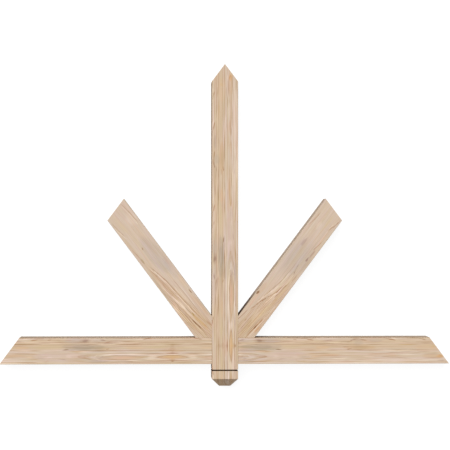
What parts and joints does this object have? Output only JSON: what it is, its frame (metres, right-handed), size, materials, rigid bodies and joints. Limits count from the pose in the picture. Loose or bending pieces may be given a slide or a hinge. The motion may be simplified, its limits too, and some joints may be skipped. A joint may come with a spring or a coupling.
{
  "type": "timber gable bracket",
  "caption": "Open timber ornament for a gable peak: an upright post with a kerfed, chamfered pendant foot, a level chord lapped across it, and sloping struts cut to the roof pitch.",
  "frame": {"origin": "on the flat back, where the centre lines of the post and the chord cross", "axes": "+X along the chord to the right as seen from the front, +Y up the post to the peak, +Z out of the front face; it is stored lying on its back"},
  "size_m": [1.524, 1.0922, 0.0889],
  "materials": {
    "timber": "smooth planed softwood, unfinished and matt"
  },
  "bodies": {
    "root": {"king_post": "timber", "bottom_chord": "timber", "left_strut": "timber", "right_strut": "timber"}
  },
  "joints": []
}
